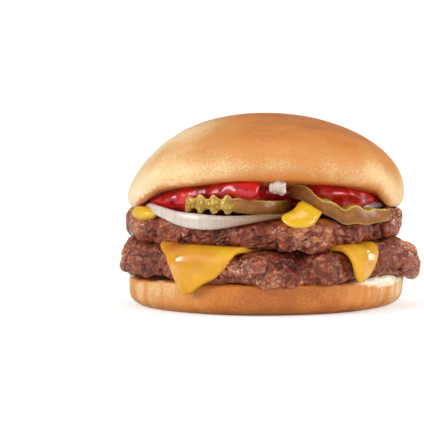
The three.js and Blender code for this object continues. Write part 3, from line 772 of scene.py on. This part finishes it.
# Each dent, and each spot of painted light and shade, is an angle, a level, a width in degrees,
# a share of the height, and how much.
# Each spot of drippings, partly painted shade, is an angle, a width, the level where it begins, and a
# share.
LOWER_LOOK = dict(
    seed=200,
    dents=[
        (281, 0.95, 9, 0.3, -2.5), (284.8, 0.5, 3, 0.6, -2.4), (318, 0.4, 3, 0.5, -1.2),
        (258, 0.1, 5, 0.25, -1.2),
    ],
    tones=[
        (193, 0.6, 12, 0.5, 0.14), (214, 0.5, 6, 0.7, -0.1), (256, 0.65, 6, 0.4, 0.2),
        (268, 0.2, 8, 0.35, 0.1), (279, 0.9, 9, 0.25, -0.3), (298, 0.6, 9, 0.6, -0.06),
        (310, 0.3, 3, 0.4, 0.1), (322, 0.5, 4, 0.6, -0.12), (340, 0.75, 9, 0.35, 0.2),
        (356, 0.4, 9, 0.5, 0.1),
    ],
    juices=[(250, 6, 0.5, 0.5), (302, 5, 0.4, 0.5)],
)
UPPER_LOOK = dict(
    seed=300,
    dents=[
        (262, 0.2, 8, 0.3, -1.0), (270, 0.4, 4, 0.5, -1.6), (296, 0.4, 2.2, 0.6, -1.8),
        (304, 0.5, 2.5, 0.6, -1.2), (242, 0.4, 2.5, 0.5, -1.0), (224, 0.3, 3, 0.5, -1.0),
    ],
    tones=[
        (197, 0.6, 11, 0.5, 0.14), (216, 0.5, 5, 0.8, -0.16), (226, 0.7, 5, 0.3, 0.1),
        (250, 0.5, 16, 0.9, -0.1), (271, 0.5, 6, 0.8, -0.12), (281, 0.55, 5, 0.4, 0.1),
        (289, 0.4, 4, 0.4, 0.04), (301, 0.8, 6, 0.4, -0.14), (312, 0.4, 6, 0.5, 0.02),
        (327, 0.5, 5, 0.9, -0.2), (340, 0.5, 7, 0.6, 0.16),
    ],
    juices=[(277, 5, 0.35, 1.0), (291, 4, 0.5, 1.0), (208, 6, 0.7, 0.6)],
)


# ---------- Cheese ----------


def cheese_surface(cols=420):
    """A slice that lies flat up to the fold, turns down round the lower patty's edge on a quarter
    circle and hangs on straight, swaying in and out in soft waves. Its section's rim is a half
    circle as thick as the slice. It is wet in bells over the angle, and painted shade under the
    upper patty darkens the fold in another, from 22.4 mm up. Its columns gather at the front and
    the back, where its flaps are."""
    c = CHEESE
    angle = around(cols)
    angle = angle - c["gathered"] * np.cos(np.radians(angle))
    outline = lobed(c, angle)
    end = lobed(LOWER, angle) + c["stand_off"] - c["bend"]
    flat_end = np.minimum(end, outline - 2.5)
    half = c["thickness"] / 2
    steps = np.concatenate([np.linspace(0, 1, 12)[:-1], np.linspace(1, 2, 34)])
    rim = np.radians(np.linspace(-90, 90, 9))[1:-1]
    rows = [(s, -1.0, 0.0) for s in steps] + [(2.0, math.sin(a), math.cos(a)) for a in rim]
    rows += [(s, 1.0, 0.0) for s in steps[::-1]]
    rings = []
    for step, out, past in rows:
        reach = step * flat_end if step < 1 else flat_end + (outline - flat_end) * (step - 1)
        reach = reach - half * (step / 2) + half * past
        bent = np.clip(reach - end, 0, c["bend"] * math.pi / 2)
        turn = bent / c["bend"]
        fall = np.maximum(reach - end - bent, 0)
        r = np.minimum(reach, end) + (c["bend"] + out * half) * np.sin(turn)
        ring = place(r, angle, 0)
        over = out * half * np.cos(turn) - c["bend"] * (1 - np.cos(turn)) - fall
        ring[..., 2] = c["middle"] + side_rise(ring[..., 0]) + over
        rings.append(ring)
    points = np.concatenate(rings)
    sway = 0.5 * waves(points, 13, 61) + 0.3 * waves(points, 6.5, 62)
    sway = sway * smooth(from_axis(points), 44, 52)
    points = points + (points / 55 * [1, 1, 0]) * sway[..., None]
    turned = np.degrees(np.arctan2(points[..., 1], points[..., 0])) % 360
    # Painted shade: the top of the fold darkens under the upper patty.
    juice = bells(turned, c["juicy"]) * smooth(points[..., 2], 22.4, 24.6)
    return points, np.clip(bells(turned, c["wet"]), 0, 1), juice


# ---------- Onion ----------


def onion_ring_surface(ring, cols=300, rows=20):
    """A section of an upright superellipse, as wide as the onion's wall, carried round a circle
    that wobbles a little. Its lower edge sags, and its upper edge swells, by bells over the angle.
    It may turn browner along a stretch of the turn, partly see-through onion and partly painted
    shade under the crown."""
    angle = around(cols)
    t = np.radians(around(rows)).T
    across = powered(np.cos(t), 0.75)
    level = 0.5 + 0.5 * powered(np.sin(t), 0.75)
    wobble = 1 + 0.012 * np.sin(np.radians(3 * angle + 40))
    radius = (ring["radius"] - ring["wall"] / 2 + ring["wall"] / 2 * across) * wobble
    turn = np.radians(angle)
    x = ring["x"] + radius * np.cos(turn)
    y = ring["y"] + radius * np.sin(turn)
    low = ring["low"] + side_rise(x) - bells(angle, ring["dips"])
    high = ring["high"] + bells(angle, ring["swells"])
    points = np.stack([x, y, low + (high - low) * level], -1)
    # The large ring browns along its front right: partly see-through onion, partly painted shade under
    # the crown.
    glassy = ring["glassy"] + ring["glassier"] * within(angle, *ONION_GLASSY) + 0 * t
    return points + 0.12 * np.stack([waves(points, 6, ring["seed"] + k) for k in (0, 1, 2)], -1), glassy


def onion_bit_surface(cols=96, rows=48):
    """A ball squared off a little by a power of its unit vector and stretched to a small chunk, whose
    right side is longer low down, pushed by waves of two sizes. It is see-through in soft patches."""
    unit = powered(ball(cols, rows), ONION_BIT["squarer"])
    tail = 1 + ONION_BIT["longer_right"] * (unit[..., 0] > 0) * smooth(-unit[..., 2], -0.3, 0.5)
    points = unit * ONION_BIT["halves"]
    points[..., 0] *= tail
    points = points + ONION_BIT["middle"]
    push = 1.0 * waves(points, 2.6, 77) + 0.5 * waves(points, 1.2, 72)
    glassy = np.clip(0.06 + 0.5 * waves(points, 2.2, 79), 0, 1)
    return points + unit * push[..., None], glassy


# ---------- Pickle ----------


def pickle_surface(chip, settle, cols=400):
    """A round chip with a thick rim. Across its ridges both faces rise and fall as a cosine, to the
    power of 0.75, whose height runs out to one side: against each other on one chip, together on the
    other, where the upper face moves more. The rim swells where the chip is thick. settle gives its
    middle's height, its upper face is higher by a bell over x, and the lower face draws in towards
    the middle over the last few millimetres on the far right."""
    angle = around(cols)
    turn = np.radians(angle)
    rim = np.radians(np.linspace(-90, 90, 19))
    share, face = section(np.linspace(0, 0.93, 26), 0.955 + 0.045 * np.cos(rim), np.sin(rim))
    along = share * chip["long"] * np.cos(turn)
    ridged = smooth(along if chip["side"] < 0 else -along, *chip["ridges_from"])
    wave = np.cos(2 * np.pi * (along - chip["crest"]) / chip["pitch"])
    wave = powered(wave, 0.75) * ridged
    swell = 1 + chip["swell"] * wave * smooth(share, 0.6, 1)
    along = along * swell
    chord = share * chip["short"] * np.sin(turn) * swell
    across = math.radians(chip["across"])
    x = chip["x"] + along * math.cos(across) - chord * math.sin(across)
    y = chip["y"] + along * math.sin(across) + chord * math.cos(across)
    lift = chip["ridge"] * wave * np.where(chip["side"] > 0, 0.7 + 0.3 * face, face)
    thin_end = 1 - 0.45 * (face < 0) * smooth(x, 38, 46.5)
    at, width, thicker = chip["thicker"]
    lift = lift + thicker * (0.5 + 0.5 * face) * np.exp(-(((x - at) / width) ** 2))
    z = settle(x, y) + face * chip["thickness"] / 2 * thin_end + lift
    points = np.stack([x, y, z], -1)
    lumpy = 0.12 * waves(points, 2.4, chip["seed"]) + 0.06 * waves(points, 1.1, chip["seed"] + 1)
    points = pushed(points, lumpy)
    skin = smooth(share + 0 * angle, 0.955, 0.985) * (1 - smooth(face, 0.72, 0.95))
    fleshy = ridged * (chip["side"] < 0)
    # The edge field is a painted highlight along the rims of both faces, stronger where the lying chip
    # is ridged.
    edge = smooth(np.abs(face), 0.7, 0.98) * smooth(share, 0.8, 0.95) * (0.3 + 0.5 * fleshy)
    return points, 1 - skin * (1 - 0.85 * fleshy), edge


PICKLE_LEFT = dict(
    x=-10.6, y=-29.6, long=20.3, short=18.6, thickness=5.3, ridge=0.85, pitch=5.0, crest=3.4,
    ridges_from=(-0.5, 3.5), swell=0.022, across=178, thicker=(0, 1, 0), side=-1, seed=81,
)
PICKLE_RIGHT = dict(
    x=26.6, y=-31.4, long=19.4, short=16.2, thickness=5.2, ridge=0.7, pitch=8.6, crest=-6.6,
    ridges_from=(-14, -5), swell=0.0, across=14, thicker=(31, 4.5, 1.1), side=1, seed=91,
)


def left_settle(x, y):
    """The chip lies level on the left and droops by 1.6 mm to its right end."""
    return 40.5 - 1.6 * smooth(x, -16, 4)


def right_settle(x, y):
    """The chip climbs from its hanging right end to the left, and from its front edge inwards."""
    c = PICKLE_RIGHT
    from_end = (c["x"] + c["long"] - x) / (2 * c["long"])
    inward = smooth(y, c["y"] - c["short"] * 0.7, c["y"] + c["short"]) * (1 - from_end)
    return 35.9 + 9.6 * smooth(from_end, 0.4, 1.0) - 1.5 * inward


def under_right(x, y):
    """Height of the hanging chip's lower face, 2.3 mm under its middle."""
    return right_settle(x, y) - 2.3


# ---------- Sauces ----------


def ketchup_surface(cols=460):
    """A layer whose upper face follows the crown's cut face and whose lower face sags outside the
    onion, with a rounded side. Its reach swells and draws back with the angle: it hangs out beside
    the first pickle, stays back behind the second, and its lower half stays behind both. Its side
    is pushed by soft waves."""
    k = KETCHUP
    angle = around(cols)
    rim = np.radians(np.linspace(-90, 90, 33))
    share, level = section(np.linspace(0, 0.9, 16), 0.94 + 0.06 * np.cos(rim), np.sin(rim))
    level = 0.5 + 0.5 * level
    reach = k["reach"] + 0.8 * np.sin(np.radians(6 * angle + 30)) + bells(angle, k["swells"])
    reach = reach - k["behind_hanging"] * within(angle, *BEHIND_HANGING_PICKLE)
    lobe = bump(angle, *k["lobe"])
    low_side = (1 - smooth(level, 0.35, 0.68)) * within(angle, *BEHIND_BOTH_PICKLES)
    reach = reach - k["behind_both"] * low_side * (1 - 0.5 * lobe)
    reach = reach + k["lobe_out"] * lobe * smooth(level, 0.4, 0.6)
    points = place(share * reach, angle, level)
    x, y = points[..., 0], points[..., 1]
    top = crown_underside(x, y) + 0.25
    sag = smooth(from_axis(points), 34, 43) * (side_rise(x) - 0.6 + bells(angle, k["raised"]))
    low = np.minimum(k["underside"] + sag, top - 1)
    points[..., 2] = low + (top - low) * level
    blob = 1.0 * waves(points, 7, 101) + 0.55 * waves(points, 3, 102)
    blob = blob * smooth(share, 0.85, 0.95) * np.sin(np.pi * level) ** 0.5
    return (pushed(points, blob),)


def drop_surface(drop, ceiling=None, cols=160, rows=80):
    """A ball stretched along the rim at an angle and a radius. Its middle climbs along the rim by
    the slope, which grows by the curl for each millimetre, and its upper part leans in over the
    patty's edge by the lean. Where it slopes, its upper half is lower at its foot and higher at its
    head, as a smooth step along the rim. Soft waves push its surface. Under a ceiling, each height
    becomes the ceiling less 0.7 mm times the logarithm of one plus e to the power of the room left
    over 0.7 mm, so it stays below and levels off softly."""
    unit = ball(cols, rows)
    along = drop["along"] / 2 * unit[..., 0]
    turn = np.radians(drop["at"]) + along / drop["radius"]
    upper = (unit[..., 2] > 0) * (drop["slope"] > 0)
    taller = 1 + upper * (0.65 * smooth(unit[..., 0], -0.75, 0.35) - 0.45)
    over = (drop["slope"] + drop["curl"] * along) * along + drop["high"] / 2 * unit[..., 2] * taller
    r = drop["radius"] - drop["deep"] / 2 * unit[..., 1] - drop["lean"] * over
    points = np.stack([r * np.cos(turn), r * np.sin(turn), drop["z"] + over], -1)
    push = 0.4 * waves(points, 5, drop["seed"]) + 0.12 * waves(points, 2, drop["seed"] + 1)
    points = pushed(points, push)
    if ceiling:
        top, soft = ceiling(points[..., 0], points[..., 1]), 0.7
        points[..., 2] = top - soft * np.logaddexp(0, (top - points[..., 2]) / soft)
    return (points,)


# ---------- Studio ----------


CAMERA = dict(lens=223.4, sensor=36, clip=(0.05, 20), above=3.5, aim_mm=(-20.3, 0, 35.0))
FLOOR_REACH = 6.0  # metres from the middle to each edge

# Each light is a name, its place, what it looks at and its size in mm, and its power in watts.
LIGHTS = [
    ("left", (-700, -330, 330), (0, 0, 35), (350, 400), 3.8),
    ("right", (700, -260, 220), (0, 0, 35), (350, 400), 3.2),
    ("front", (-250, -820, 480), (0, 0, 30), (300, 250), 0.15),
    ("top", (0, 50, 800), (0, 0, 30), (400, 400), 1.4),
    ("low fill", (80, -800, 90), (0, 0, 42), (600, 120), 0.8),
    ("left spark", (-420, -760, 560), (0, 0, 30), (110, 110), 1.0),
    ("right spark", (735, 50, 583), (0, 0, 30), (90, 90), 0.7),
]


def make_camera():
    """A long lens a metre away from the point it looks at, a few degrees above it."""
    data = bpy.data.cameras.new("camera")
    data.lens, data.sensor_width = CAMERA["lens"], CAMERA["sensor"]
    data.clip_start, data.clip_end = CAMERA["clip"]
    camera = shown("camera", data)
    tilt = math.radians(CAMERA["above"])
    aim = (AXIS + CAMERA["aim_mm"]) * MM
    camera.location = aim + np.array([0, -math.cos(tilt), math.sin(tilt)])
    camera.rotation_euler = (math.pi / 2 - tilt, 0, 0)
    bpy.context.scene.camera = camera


def soft_box(name, place_mm, aim_mm, size_mm, watts):
    """A white rectangular area light that looks at a point."""
    data = bpy.data.lights.new(name, "AREA")
    data.shape = "RECTANGLE"
    data.size, data.size_y = size_mm[0] * MM, size_mm[1] * MM
    data.energy = watts
    lamp = shown(name, data)
    here, there = np.array(place_mm) * MM, np.array(aim_mm) * MM
    way = here - there
    way = way / np.linalg.norm(way)
    lamp.location = here
    lamp.rotation_euler = (math.acos(way[2]), 0, math.atan2(way[1], way[0]) + math.pi / 2)


def floor_material():
    """White board that looks evenly white to the camera, apart from the soft shadow at the foot:
    the farther from the burger, the more of its own light it adds."""
    s = Finish("pale floor")
    away = s.add("ShaderNodeVectorMath", {0: s.coords}, operation="LENGTH").outputs["Value"]
    glow = s.span(away, 0.05, 0.6, 0.46, 0.85)
    seen = s.add("ShaderNodeLightPath").outputs["Is Camera Ray"]
    return s.done(
        Base_Color=(0.77, 0.8, 0.82, 1),
        Roughness=0.8,
        Specular_IOR_Level=0.1,
        Emission_Color=s.mix(s.times(glow, seen), (0, 0, 0, 1), (1, 1, 1, 1)),
        Emission_Strength=1.0,
    )


def make_studio():
    """A white surround that the camera sees brighter than the burger does, the lights and a floor."""
    scene = bpy.context.scene
    scene.view_settings.view_transform = "Standard"
    world = bpy.data.worlds.new("studio")
    scene.world = world
    world.use_nodes = True
    nodes, links = world.node_tree.nodes, world.node_tree.links
    nodes.clear()
    out = nodes.new("ShaderNodeOutputWorld")
    seen, lit = nodes.new("ShaderNodeBackground"), nodes.new("ShaderNodeBackground")
    for light, colour, strength in ((seen, (1, 1, 1, 1), 1.05), (lit, (1, 0.99, 0.98, 1), 0.3)):
        light.inputs[0].default_value, light.inputs[1].default_value = colour, strength
    path, mix = nodes.new("ShaderNodeLightPath"), nodes.new("ShaderNodeMixShader")
    links.new(path.outputs["Is Camera Ray"], mix.inputs[0])
    links.new(lit.outputs[0], mix.inputs[1])
    links.new(seen.outputs[0], mix.inputs[2])
    links.new(mix.outputs[0], out.inputs[0])
    for light in LIGHTS:
        soft_box(*light)
    mesh = bpy.data.meshes.new("floor")
    corners = [(x * FLOOR_REACH, y * FLOOR_REACH, 0) for x, y in ((-1, -1), (1, -1), (1, 1), (-1, 1))]
    mesh.from_pydata(corners, [], [(0, 1, 2, 3)])
    mesh.materials.append(floor_material())
    shown("floor", mesh)


# ---------- The burger ----------


def dress():
    """Makes the shared effects, each material with the names of its fields, and one piece for each
    node. A surface gives its points and then its fields' values."""
    for make_effect in (mottle_effect, streak_effect, wet_effect, grain_effect):
        make_effect()
    materials = dict(
        bun=(bun_material(), "baked", "crumb", "stain"),
        beef=(beef_material(), "pit", "juice", "fat"),
        cheese=(cheese_material(), "wet", "juice"),
        onion=(onion_material(), "glassy"),
        pickle=(pickle_material(), "flesh", "edge"),
        ketchup=(sauce_material("ketchup", (216, 18, 22), (146, 8, 20), 0.5),),
        mustard=(sauce_material("mustard", (230, 184, 30), (222, 168, 24), 0.2),),
    )
    pieces = [
        ("heel", "bottom_bun", "bun", heel_surface()),
        ("crown", "top_bun", "bun", crown_surface()),
        ("lower_beef", "lower_patty", "beef", patty_surface(LOWER, LOWER_LOOK)),
        ("upper_beef", "upper_patty", "beef", patty_surface(UPPER, UPPER_LOOK)),
        ("cheese", "cheese_slice", "cheese", cheese_surface()),
        ("large_onion_ring", "onion_ring_left", "onion", onion_ring_surface(RING_LEFT)),
        ("small_onion_ring", "onion_ring_right", "onion", onion_ring_surface(RING_RIGHT)),
        ("onion_chunk", "onion_bit", "onion", onion_bit_surface()),
        ("lying_pickle", "pickle_left", "pickle", pickle_surface(PICKLE_LEFT, left_settle)),
        ("hanging_pickle", "pickle_right", "pickle", pickle_surface(PICKLE_RIGHT, right_settle)),
        ("ketchup_layer", "ketchup", "ketchup", ketchup_surface()),
    ]
    for node, drop in MUSTARDS.items():
        ceiling = under_right if node == "mustard_front" else None
        pieces.append((node + "_drop", node, "mustard", drop_surface(drop, ceiling)))
    for name, node, slot, (points, *values) in pieces:
        material, *keys = materials[slot]
        closed_ends = "onion_ring" not in node
        make_piece(name, node, material, points, zip(keys, values), closed_ends)


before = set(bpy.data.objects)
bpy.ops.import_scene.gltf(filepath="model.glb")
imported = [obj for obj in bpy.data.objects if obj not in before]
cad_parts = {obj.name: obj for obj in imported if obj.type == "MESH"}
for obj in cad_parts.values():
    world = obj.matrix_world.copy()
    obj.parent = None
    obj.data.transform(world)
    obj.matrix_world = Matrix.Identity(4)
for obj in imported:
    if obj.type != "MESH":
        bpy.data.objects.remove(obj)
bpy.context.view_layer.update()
make_camera()
make_studio()
dress()
